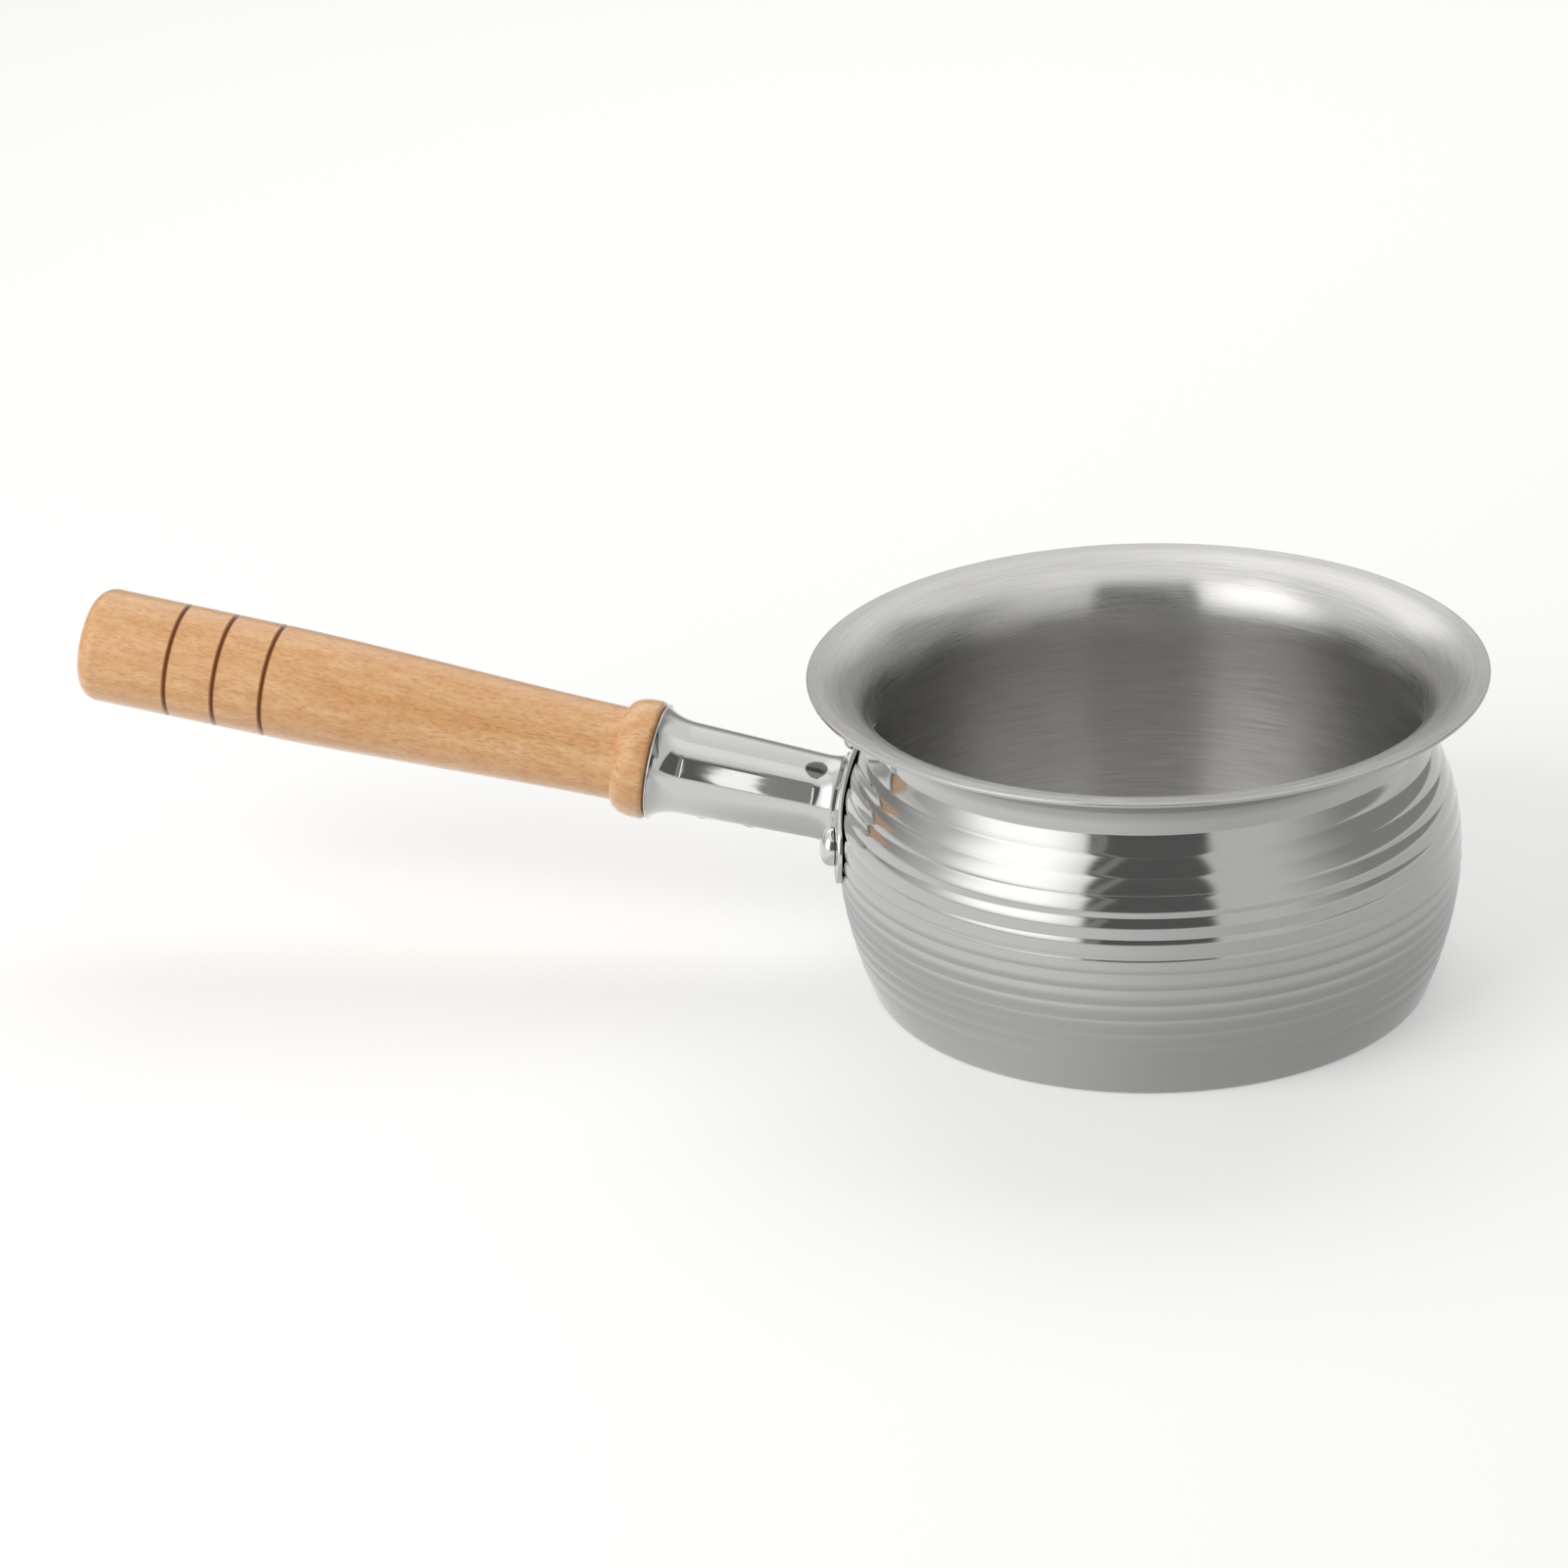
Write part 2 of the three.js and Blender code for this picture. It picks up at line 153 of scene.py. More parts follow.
# A piece stands for its node, moves with the only body and takes the materials it is given
def fitOut(piece, node, slot, *materials):
    for material in materials:
        piece.data.materials.append(material)
    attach(piece, "root")
    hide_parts(node)
    print(node, "has", len(piece.data.polygons), "faces")


# Materials

# sRGB hex to linear: a power curve above a short straight toe
def linear(colour):
    channels = np.array([int(colour[i:i + 2], 16) for i in (1, 3, 5)]) / 255
    curved = np.where(channels <= 0.04045, channels / 12.92, ((channels + 0.055) / 1.055) ** 2.4)
    return (*curved.tolist(), 1.0)


# Adds a node to a material or world, sets its properties and inputs, and links the inputs that are sockets
def addNode(owner, kind, inputs=None, **settings):
    node = owner.node_tree.nodes.new("ShaderNode" + kind)
    for key, value in settings.items():
        setattr(node, key, value)
    for key, value in (inputs or {}).items():
        if isinstance(value, bpy.types.NodeSocket):
            owner.node_tree.links.new(value, node.inputs[key])
        else:
            node.inputs[key].default_value = value
    return node


def newMaterial(name):
    material = bpy.data.materials.new(name)
    material.use_nodes = True
    material.node_tree.nodes.clear()
    return material


def finishMaterial(material, shader):
    output = addNode(material, "OutputMaterial")
    material.node_tree.links.new(shader.outputs[0], output.inputs["Surface"])
    return material


steelLooks = {
    "polishedColour": "#b4b4b2", "polishedRough": (0.07, 0.12), "polishedBump": 0.03,
    "satinDark": "#bebdba", "satinPale": "#cfcecb", "satinBump": 0.22,
    "lipRough": 0.20, "wallRough": 0.38, "streakRough": (-0.03, 0.05),
    # real spinning marks and scratches are finer, and are drawn this coarse so that they show
    "lineSpacing": 0.5, "lineLength": 45, "scratchSpacing": 0.45, "scratchLength": 14, "markDepth": 0.05,
    "sleeveColour": "#c1c1bf", "sleeveRough": 0.034,
    "rivetColour": "#c9c9c6", "rivetRough": 0.12,
    "screwColour": "#bdbdb8", "screwRough": 0.22,
    "hazeSize": 6, "hazeShare": 0.3,  # patches left by the buffing wheel
}
noiseSpan = {"From Min": 0.3, "From Max": 0.7}  # nearly all values of a noise texture lie in here
shadeSpan = {"From Min": 0.32, "From Max": 0.68}  # a little less, so that both shades show in full


# Lines left by spinning or brushing: noise that is fine across the profile and long around it
def spinLines(material, spacing, length):
    place = addNode(material, "TexCoord").outputs["Object"]
    flat = addNode(material, "VectorMath", {0: place, 1: (1 / (length * mm), 1 / (length * mm), 0)},
                   operation="MULTIPLY")
    along = addNode(material, "Attribute", attribute_name="along").outputs["Fac"]
    across = addNode(material, "Math", {0: along, 1: 1 / (spacing * mm)}, operation="MULTIPLY")
    lift = addNode(material, "CombineXYZ", {"Z": across.outputs[0]})
    spot = addNode(material, "VectorMath", {0: flat.outputs[0], 1: lift.outputs[0]}, operation="ADD")
    noise = addNode(material, "TexNoise", {
        "Vector": spot.outputs[0], "Scale": 1.0, "Detail": 3.0, "Roughness": 0.6})
    return noise.outputs["Fac"]


# Stainless steel spun over a form and buffed: mirror-like, with a trace of rings that soften reflections
def polishedSpunSteel():
    s = steelLooks
    material = newMaterial("polished_spun_steel")
    lines = spinLines(material, s["lineSpacing"], s["lineLength"])
    least, most = s["polishedRough"]
    rough = addNode(material, "MapRange", {"Value": lines, "To Min": least, "To Max": most, **noiseSpan})
    bump = addNode(material, "Bump", {
        "Height": lines, "Strength": s["polishedBump"], "Distance": s["markDepth"] * mm})
    return finishMaterial(material, addNode(material, "BsdfPrincipled", {
        "Base Color": linear(s["polishedColour"]), "Metallic": 1.0,
        "Roughness": rough.outputs[0], "Normal": bump.outputs[0]}))


# The same steel brushed round the inside with grit: satin, with reflections drawn out across the lines,
# and lines that are a little paler or darker than their neighbours. The lip is rubbed smoother than the
# wall, and the change runs between two places along the profile.
def satinSpunSteel(lipEnd, wallStart):
    s = steelLooks
    material = newMaterial("satin_spun_steel")
    lines = spinLines(material, s["scratchSpacing"], s["scratchLength"])
    along = addNode(material, "Attribute", attribute_name="along").outputs["Fac"]
    wall = addNode(material, "MapRange", {
        "Value": along, "From Min": lipEnd * mm, "From Max": wallStart * mm,
        "To Min": s["lipRough"], "To Max": s["wallRough"]})
    least, most = s["streakRough"]
    streak = addNode(material, "MapRange", {"Value": lines, "To Min": least, "To Max": most, **noiseSpan})
    rough = addNode(material, "Math", {0: wall.outputs[0], 1: streak.outputs[0]}, operation="ADD")
    shade = addNode(material, "MapRange", {"Value": lines, **shadeSpan})
    colour = addNode(material, "MixRGB", {
        "Fac": shade.outputs[0], "Color1": linear(s["satinDark"]), "Color2": linear(s["satinPale"])})
    bump = addNode(material, "Bump", {
        "Height": lines, "Strength": s["satinBump"], "Distance": s["markDepth"] * mm})
    tangent = addNode(material, "Tangent", direction_type="UV_MAP", uv_map="surface")
    return finishMaterial(material, addNode(material, "BsdfPrincipled", {
        "Base Color": colour.outputs[0], "Metallic": 1.0, "Anisotropic": 1.0,
        "Roughness": rough.outputs[0], "Normal": bump.outputs[0], "Tangent": tangent.outputs[0]}))


# Pressed or plated steel, buffed: clear reflections, with a faint unevenness from the buffing wheel
def mirrorSteel(name, colour, roughness):
    material = newMaterial(name)
    place = addNode(material, "TexCoord").outputs["Object"]
    haze = addNode(material, "TexNoise", {
        "Vector": place, "Scale": 1 / (steelLooks["hazeSize"] * mm), "Detail": 2.0})
    share = steelLooks["hazeShare"]
    rough = addNode(material, "MapRange", {
        "Value": haze.outputs["Fac"], "To Min": (1 - share) * roughness, "To Max": (1 + share) * roughness,
        **noiseSpan})
    return finishMaterial(material, addNode(material, "BsdfPrincipled", {
        "Base Color": linear(colour), "Metallic": 1.0, "Roughness": rough.outputs[0]}))


# Wall of the pan

pan = {
    "sheet": 1.0, "rimRadius": 85.0, "rimHeight": 83.35, "rimReach": 15.5, "lipSlope": 5.0,
    "flareRadius": 13.3, "neckLength": 0.25, "neckCrease": 6.0, "shoulderStep": 9.15,
    "bellyHeight": 36.0, "baseStep": 7.6, "baseCorner": 1.2,
    "lowerFullness": 0.55, "shoulderFullness": 0.62, "neckFullness": 0.22,
    "ribDepth": 0.27, "lowerRibs": 7, "upperRibs": 6, "ribStart": 10.7, "ribBelt": 3.85, "ribRunOut": 1.5,
    "edgeRounding": 0.3, "around": 300, "ribSteps": 12, "edgeSteps": 7,
    # rows from the base to the lowest groove, from the highest to the lip, and down the inside
    "lowSteps": (7, 6, 8), "highSteps": (8, 18, 14), "insideSteps": (9, 6, 48, 18, 8),
    # points of the line from which every place on the wall is read
    "fineSteps": {"base": 200, "corner": 40, "lower": 400, "shoulder": 400,
                  "neck": 60, "flare": 120, "lip": 120},
}


# The wall's outside from the middle of the base to the rim's edge, as (radius, height)
def wallPath(p):
    lip = math.radians(p["lipSlope"])
    neck = p["rimRadius"] - p["rimReach"]
    belly = neck + p["shoulderStep"]
    base = belly - p["baseStep"]
    rim = np.array([p["rimRadius"], p["rimHeight"] - p["sheet"] * math.cos(lip)])
    lipRadius = neck + p["flareRadius"] * (1 - math.sin(lip))
    lipStart = np.array([lipRadius, rim[1] - (rim[0] - lipRadius) * math.tan(lip)])
    neckTop = lipStart[1] - p["flareRadius"] * math.cos(lip)
    neckFoot = neckTop - p["neckLength"]
    rise = neckFoot - p["bellyHeight"]
    pull = np.array([belly, p["lowerFullness"] * p["bellyHeight"]])
    edge = np.array([base, 0.0])
    foot = edge + (pull - edge) / np.linalg.norm(pull - edge) * p["baseCorner"]
    neckPull = p["neckFullness"] * rise
    steps = p["fineSteps"]
    bend = (p["flareRadius"], p["flareRadius"])
    return {
        "base": straight((0, 0), (base - p["baseCorner"], 0), steps["base"]),
        "corner": bezier([(base - p["baseCorner"], 0), edge, foot], steps["corner"]),
        "lower": bezier([foot, pull, (belly, p["bellyHeight"])], steps["lower"]),
        "shoulder": bezier([
            (belly, p["bellyHeight"]),
            (belly, p["bellyHeight"] + p["shoulderFullness"] * rise),
            (neck + neckPull * math.tan(math.radians(p["neckCrease"])), neckFoot - neckPull),
            (neck, neckFoot)], steps["shoulder"]),
        "neck": straight((neck, neckFoot), (neck, neckTop), steps["neck"]),
        "flare": arc((neck + p["flareRadius"], neckTop), bend, 180, 90 + p["lipSlope"], steps["flare"]),
        "lip": straight(lipStart, rim, steps["lip"]),
    }


wallParts = wallPath(pan)
wallLine = chain(*wallParts.values())
wallStations = lengths(wallLine)
wallEnds = dict(zip(wallParts, np.cumsum([lengths(part)[-1] for part in wallParts.values()])))
wallTangent = np.gradient(wallLine, wallStations, axis=0)
wallNormal = np.stack([wallTangent[:, 1], -wallTangent[:, 0]], 1)
wallNormal /= np.linalg.norm(wallNormal, axis=1)[:, None]


# Point of the wall at a station along it, moved out along the normal by some distance
def wallAt(station, distance=0.0):
    spot = np.stack([np.interp(station, wallStations, wallLine[:, i]) for i in (0, 1)], -1)
    out = np.stack([np.interp(station, wallStations, wallNormal[:, i]) for i in (0, 1)], -1)
    return spot + out * np.asarray(distance)[..., None], out


upright = wallStations > wallEnds["base"]


# The way along the wall at which it reaches some height
def stationAtHeight(height):
    return np.interp(height, wallLine[upright, 1], wallStations[upright])


# Radius of the wall offset by some distance, as a function of height
def wallRadius(height, distance):
    shell, _ = wallAt(wallStations[upright], distance)
    return np.interp(height, shell[:, 1], shell[:, 0])


# Places of the grooves along the wall: even up to the belt, then even but wider to the shoulder's end
def ribGrooves(p):
    low = stationAtHeight(p["ribStart"])
    belt = stationAtHeight(p["bellyHeight"] + p["ribBelt"])
    lower = np.linspace(low, belt, p["lowerRibs"] + 1)
    upper = np.linspace(belt, wallEnds["shoulder"], p["upperRibs"] + 1)
    return np.r_[lower, upper[1:]]


# Ribs: between two grooves the wall bulges as a parabola, and past the first and last it fades out
def ribDrop(station, grooves, p):
    rib = np.clip(np.searchsorted(grooves, station, side="right") - 1, 0, len(grooves) - 2)
    share = (station - grooves[rib]) / (grooves[rib + 1] - grooves[rib])
    past = np.maximum(grooves[0] - station, station - grooves[-1]) / p["ribRunOut"]
    return -p["ribDepth"] * np.where(past <= 0, (2 * share - 1) ** 2, np.clip(1 - past, 0, 1))


# Profile of the sheet: up the outside over the ribs, round the rim's edge and down the inside, which is
# the plain wall moved in by the sheet. The edge is two quarter circles.
def panProfile(p):
    ends = wallEnds
    curl = p["edgeRounding"]
    lipEnd = ends["lip"] - curl
    grooves = ribGrooves(p)
    steps = np.arange(p["ribSteps"]) / p["ribSteps"]
    ribbed = (grooves[:-1, None] + np.diff(grooves)[:, None] * steps).ravel()
    out = np.unique(np.r_[
        spaced([0, ends["base"], ends["corner"], grooves[0]], p["lowSteps"]),
        ribbed,
        spaced([grooves[-1], ends["neck"], ends["flare"], lipEnd], p["highSteps"])])
    outside, _ = wallAt(out, ribDrop(out, grooves, p))
    bottom, side = ends["base"] - p["sheet"], ends["corner"] + 2 * p["sheet"]
    back = np.unique(spaced([0, bottom, side, ends["neck"], ends["flare"], lipEnd], p["insideSteps"]))
    inside, _ = wallAt(back, -p["sheet"])
    inside[0, 0] = 0
    lip = math.radians(p["lipSlope"])
    along = np.array([math.cos(lip), math.sin(lip)])  # out along the lip
    up = np.array([-along[1], along[0]])
    corner, _ = wallAt(np.array(ends["lip"]))
    turn = np.radians(np.linspace(0, 90, p["edgeSteps"]))[:, None]
    under = corner - curl * along + curl * up
    over = corner - curl * along + (p["sheet"] - curl) * up
    edge = np.vstack([under + curl * (np.sin(turn) * along - np.cos(turn) * up),
                      over + curl * (np.cos(turn) * along + np.sin(turn) * up)])
    profile = np.vstack([outside, edge[1:-1], inside[::-1]])
    return profile, len(outside) + len(edge) - 2


# Polished outside and satin inside. The satin grows rougher from the middle of the bend on, over one bend.
def makePan(p):
    profile, insideRow = panProfile(p)
    run = lengths(profile)
    piece = skin("pan_body_spun", turned(profile, p["around"]), run, poles=True, crease=50)
    row = np.repeat(np.arange(1, len(profile) - 2), p["around"])
    satin = np.r_[row >= insideRow - 1, np.zeros(p["around"], bool), np.ones(p["around"], bool)]
    bend = wallEnds["flare"] - wallEnds["neck"]
    lipEnd = run[insideRow] + wallEnds["lip"] - wallEnds["flare"] + bend / 2
    fitOut(piece, "pan_body", "spun_steel", polishedSpunSteel(), satinSpunSteel(lipEnd, lipEnd + bend))
    piece.data.polygons.foreach_set("material_index", satin.astype(np.int32))


makePan(pan)


# Socket: plate, rivets and sleeve

clearance = 0.02  # dressed pieces sit almost touching

socket = {
    "rootHeight": 42.0, "rise": 9.65, "length": 48.4, "wall": 1.0, "rootRadius": 10.95,
    "mouthRadius": 12.0, "lipRadius": 15.0, "lipLength": 8.5, "lipFullness": 0.67, "lipRounding": 0.45,
    "footRadius": 12.8, "footEdge": 0.5, "footLength": 4.9, "footEase": 1.5, "around": 128,
    "footSteps": 20, "taperSteps": 24, "flareSteps": 24, "lipSteps": 10, "boreSteps": 8, "settleRounds": 8,
}
rivets = {
    "headRadius": 5.0, "headHeight": 3.4, "headFullness": 2.6, "headBevel": 0.3, "headSink": 0.2,
    "shankRadius": 2.5, "tailRadius": 4.4, "tailHeight": 0.12, "tailChamfer": 0.06, "tailGap": 0.08,
    "drop": 3.05, "sideGap": 3.7, "topGap": 0.8, "around": 64, "headSteps": 24, "tailSteps": 6,
}
plate = {
    "gap": 0.3, "thickness": 1.0, "sideMargin": 4.4, "topMargin": 1.5, "footMargin": 0.9,
    "edgeRounding": 0.12, "around": 240, "rings": 40, "edgeSteps": 4,
    "outlineFineness": 4,  # points of the first outline for each point that is kept
}
plateFace = plate["gap"] + plate["thickness"]
rivetSide = socket["footRadius"] + rivets["sideGap"] + rivets["headRadius"]
rivetLow = socket["rootHeight"] - rivets["drop"]
rivetHigh = socket["rootHeight"] + socket["footRadius"] + rivets["topGap"] + rivets["headRadius"]
rivetSpots = {  # way to the side of the handle, and height
    "rivet_front": (-rivetSide, rivetLow),
    "rivet_rear": (rivetSide, rivetLow),
    "rivet_top": (0, rivetHigh),
}


# Outline round four circles: for each direction the circle that reaches furthest gives the point.
# The points are then spread evenly along it.
def plateOutline():
    sideRadius = rivets["headRadius"] + plate["sideMargin"]
    circles = np.array([
        (-rivetSide, rivetLow, sideRadius),
        (rivetSide, rivetLow, sideRadius),
        (0, rivetHigh, rivets["headRadius"] + plate["topMargin"]),
        (0, socket["rootHeight"], socket["footRadius"] + plate["footMargin"])])
    count = plate["outlineFineness"] * plate["around"]
    angle = np.linspace(0, 2 * np.pi, count, endpoint=False)
    way = np.stack([np.cos(angle), np.sin(angle)], 1)
    furthest = np.argmax(way @ circles[:, :2].T + circles[:, 2], axis=1)
    rough = circles[furthest, :2] + way * circles[furthest, 2:]
    closed = np.vstack([rough, rough[:1]])
    run = lengths(closed)
    even = np.linspace(0, run[-1], plate["around"], endpoint=False)
    return np.stack([np.interp(even, run, closed[:, i]) for i in (0, 1)], 1)


# A point to the side of the handle at some height, laid on the wall's offset surface on that side
def ontoWall(side, height, distance):
    radius = wallRadius(height, distance)
    return np.stack([-np.sqrt(radius ** 2 - side ** 2), side, height], -1)


# Plate: the outline drawn in toward the handle's root ring by ring, and laid on the wall's offset surface.
# It runs out over the face, round the edge and back along the wall.
def makePlate(material):
    outline = plateOutline()
    middle = np.array([0, socket["rootHeight"]])
    reach = np.linalg.norm(outline - middle, axis=1)[None, :, None]
    share = np.linspace(0, 1, plate["rings"])[:, None, None]
    r = plate["edgeRounding"]
    turn = np.radians(np.linspace(0, 90, plate["edgeSteps"]))[:, None, None]
    face = share * (1 - r / reach)
    bend = 1 - r * (1 - np.sin(turn)) / reach
    shares = np.vstack([face, bend, bend[::-1], face[::-1]])
    drop = r * (1 - np.cos(turn[:, 0, 0]))
    flat = np.zeros(plate["rings"])
    offset = np.r_[plateFace + flat, plateFace - drop, plate["gap"] + drop[::-1], plate["gap"] + flat]
    spots = middle + shares * (outline - middle)
    grid = np.stack([ontoWall(row[:, 0], row[:, 1], d) for row, d in zip(spots, offset)])
    keep = np.r_[True, np.abs(np.diff(shares[:, 0, 0])) + np.abs(np.diff(offset)) > tiny]
    grid = grid[keep]
    piece = skin("rivet_plate_pressed", grid, lengths(grid[:, 0]), poles=True, crease=30)
    fitOut(piece, "rivet_plate", "polished_steel", material)


# Matrix whose Z axis is the wall's normal at a rivet
def rivetPlace(side, height):
    spot, out = wallAt(stationAtHeight(height))
    place = Vector((-math.sqrt(spot[0] ** 2 - side ** 2), side, height))
    normal = Vector((place.x / spot[0] * out[0], place.y / spot[0] * out[0], out[1]))
    return Matrix.Translation(place) @ Vector((0, 0, 1)).rotation_difference(normal).to_matrix().to_4x4()


# Head of a rivet: a quarter of a superellipse, squarer at the shoulder than a ball and flatter on top
def headLine(seat):
    turn = np.radians(np.linspace(0, 90, rivets["headSteps"]))
    power = 2 / rivets["headFullness"]
    return np.stack([rivets["headRadius"] * np.cos(turn) ** power,
                     seat + rivets["headHeight"] * np.sin(turn) ** power], -1)


# Rivet: a profile from the tail inside the pan up the shank to the head, turned about the wall's normal.
# The head's edge sinks a little so that no gap shows over the curved plate.
def makeRivet(name, material):
    r = rivets
    seat, tail = plateFace + clearance, -pan["sheet"] - r["tailGap"]
    low = tail - r["tailHeight"]
    chamfer = r["tailChamfer"]
    profile = chain(
        straight((0, low), (r["tailRadius"] - chamfer, low), 6),
        arc((r["tailRadius"] - chamfer, low + chamfer), (chamfer, chamfer), -90, 0, r["tailSteps"]),
        straight((r["tailRadius"], low + chamfer), (r["tailRadius"], tail), 3),
        straight((r["tailRadius"], tail), (r["shankRadius"], tail), 3),
        straight((r["shankRadius"], tail), (r["shankRadius"], seat), 3),
        straight((r["shankRadius"], seat), (r["headRadius"] - r["headBevel"], seat - r["headSink"]), 3),
        headLine(seat))
    profile[-1, 0] = 0
    grid = turned(profile, r["around"], rivetPlace(*rivetSpots[name]))
    piece = skin(name + "_domed", grid, lengths(profile), poles=True)
    fitOut(piece, name, "rivet_steel", material)


# Handle frame: Z runs along the handle from the plate's face and X points up
rootRadius = float(wallRadius(socket["rootHeight"], 0.0)) + plateFace
handlePlace = (Matrix.Translation((-rootRadius, 0, socket["rootHeight"]))
               @ Matrix.Rotation(math.radians(socket["rise"]) - math.pi / 2, 4, "Y"))


# Radius of the sleeve's straight taper from the foot to the flare
def taperRadius(along):
    s = socket
    start, end = s["footEdge"] + s["footLength"], s["length"] - s["lipLength"]
    return s["rootRadius"] + (along - start) * (s["mouthRadius"] - s["rootRadius"]) / (end - start)


# Taper and flare of the sleeve's outside, drawn in by some depth
def sleeveLine(start, depth, steps):
    s = socket
    lipFoot = np.array([s["mouthRadius"], s["length"] - s["lipLength"]])
    slope = np.array([taperRadius(1.0) - taperRadius(0.0), 1.0])
    pull = lipFoot + slope / np.linalg.norm(slope) * s["lipFullness"] * s["lipLength"]
    outside = chain(straight((taperRadius(start), start), lipFoot, steps),
                    bezier([lipFoot, pull, (s["lipRadius"], s["length"])], s["flareSteps"]))
    return outside - np.array([depth, 0])


# How far along the handle a ring of some radius meets the plate's face: each round moves the ring by the
# gap that is left
def plateDepth(radius, around):
    angle = np.linspace(0, 2 * np.pi, around, endpoint=False)
    depth = np.zeros(around)
    for _ in range(socket["settleRounds"]):
        ring = np.stack([radius * np.cos(angle), radius * np.sin(angle), depth], -1)
        spot = placed(ring, handlePlace)
        gap = np.hypot(spot[:, 0], spot[:, 1]) - wallRadius(spot[:, 2], plateFace + clearance)
        depth -= gap
    return depth


# Sleeve: foot, taper and flare on the outside, a rounded lip, and the bore on the way back.
# Near the foot it is drawn along the handle so that its edge follows the curved plate.
def makeSleeve(material):
    s = socket
    start = s["footEdge"] + s["footLength"]
    foot = bezier([(s["footRadius"], s["footEdge"]), (s["rootRadius"], s["footEdge"]),
                   (s["rootRadius"], start)], s["footSteps"])
    outer = sleeveLine(start, 0, s["taperSteps"])
    inner = sleeveLine(start, s["wall"], s["boreSteps"])[::-1]
    tip = (outer[-1] + inner[0]) / 2
    lip = arc(tip + (0, -s["lipRounding"]), (s["wall"] / 2, s["lipRounding"]), 0, 180, s["lipSteps"])
    profile = chain(
        straight((s["footRadius"], 0), (s["footRadius"], s["footEdge"]), 3),
        foot, outer[:-2], lip, inner[2:],
        straight(inner[-1], (s["rootRadius"] - s["wall"], 0), 6))
    grid = turned(profile, s["around"])
    settle = np.clip(1 - profile[:, 1] / start, 0, 1)[:, None] ** s["footEase"]
    grid[:, :, 2] += settle * plateDepth(s["footRadius"], s["around"])
    piece = skin("socket_sleeve_pressed", placed(grid, handlePlace), lengths(profile), poles=False)
    fitOut(piece, "socket_sleeve", "polished_steel", material)


mirror = mirrorSteel("mirror_polished_steel", steelLooks["sleeveColour"], steelLooks["sleeveRough"])
makePlate(mirror)
makeSleeve(mirror)
rivetSteel = mirrorSteel("polished_rivet_steel", steelLooks["rivetColour"], steelLooks["rivetRough"])
for rivetName in rivetSpots:
    makeRivet(rivetName, rivetSteel)


# Grip

grip = {
    "length": 153.9, "collarRadius": 15.5, "collarLength": 9.3, "collarRounding": 1.5, "collarFall": 6.2,
    "waistRadius": 12.25, "swellFullness": 0.25, "grooveRadius": 14.8, "buttRadius": 14.95,
    "buttRounding": 5.0, "tenonLength": 35.0, "gap": 0.3,
    "grooveCount": 3, "groovePitch": 13.0, "grooveWidth": 1.3, "grooveDepth": 0.8, "grooveFromButt": 25.0,
    "burnAndShadeReach": 1.35, "closeReach": 1.6,  # of the groove's darkening, a burn with painted shade, and of close rows, in halves of a groove's width
    "around": 160, "collarSteps": 10, "fallSteps": 24, "swellSteps": 60, "closeSteps": 17,
    "plainSteps": 50, "buttSteps": 16,
}
woodLooks = {
    # the burnt colour is a burn line's colour with painted shade of the groove in it
    "ground": "#dda66b", "burn_and_groove_shade": "#85502c", "roughness": 0.5, "specular": 0.3, "lacquerRough": 0.16,
    "fleckBump": 0.08, "fleckDepth": 0.05,
    "layers": {  # colour, width and length, noise detail, roughness and distortion, span that shows, cover
        "growth": ("#ebbf8a", 4.5, 90, 4.0, 0.55, 0.4, 0.32, 0.68, 1.0),
        "mottle": ("#d39258", 2.5, 8, 2.0, 0.5, 0.0, 0.38, 0.68, 0.55),
        "flecks": ("#bf7c46", 0.6, 2.2, 2.0, 0.5, 0.0, 0.45, 0.72, 0.6),
    },
}
gripStart = socket["length"] + grip["gap"]
gripEnd = socket["length"] + grip["length"]
lastGroove = gripEnd - grip["grooveFromButt"]
firstGroove = lastGroove - (grip["grooveCount"] - 1) * grip["groovePitch"]
grooves = firstGroove + grip["groovePitch"] * np.arange(grip["grooveCount"])


# Radius of the grip's cylinder end, from the first groove to the butt, less a V at each groove
def buttLine(along):
    g = grip
    radius = np.interp(along, [firstGroove, gripEnd], [g["grooveRadius"], g["buttRadius"]])
    nearest = np.abs(along[:, None] - grooves).min(1)
    cut = np.clip(1 - nearest / (g["grooveWidth"] / 2), 0, 1)
    return np.stack([radius - g["grooveDepth"] * cut, along], 1)


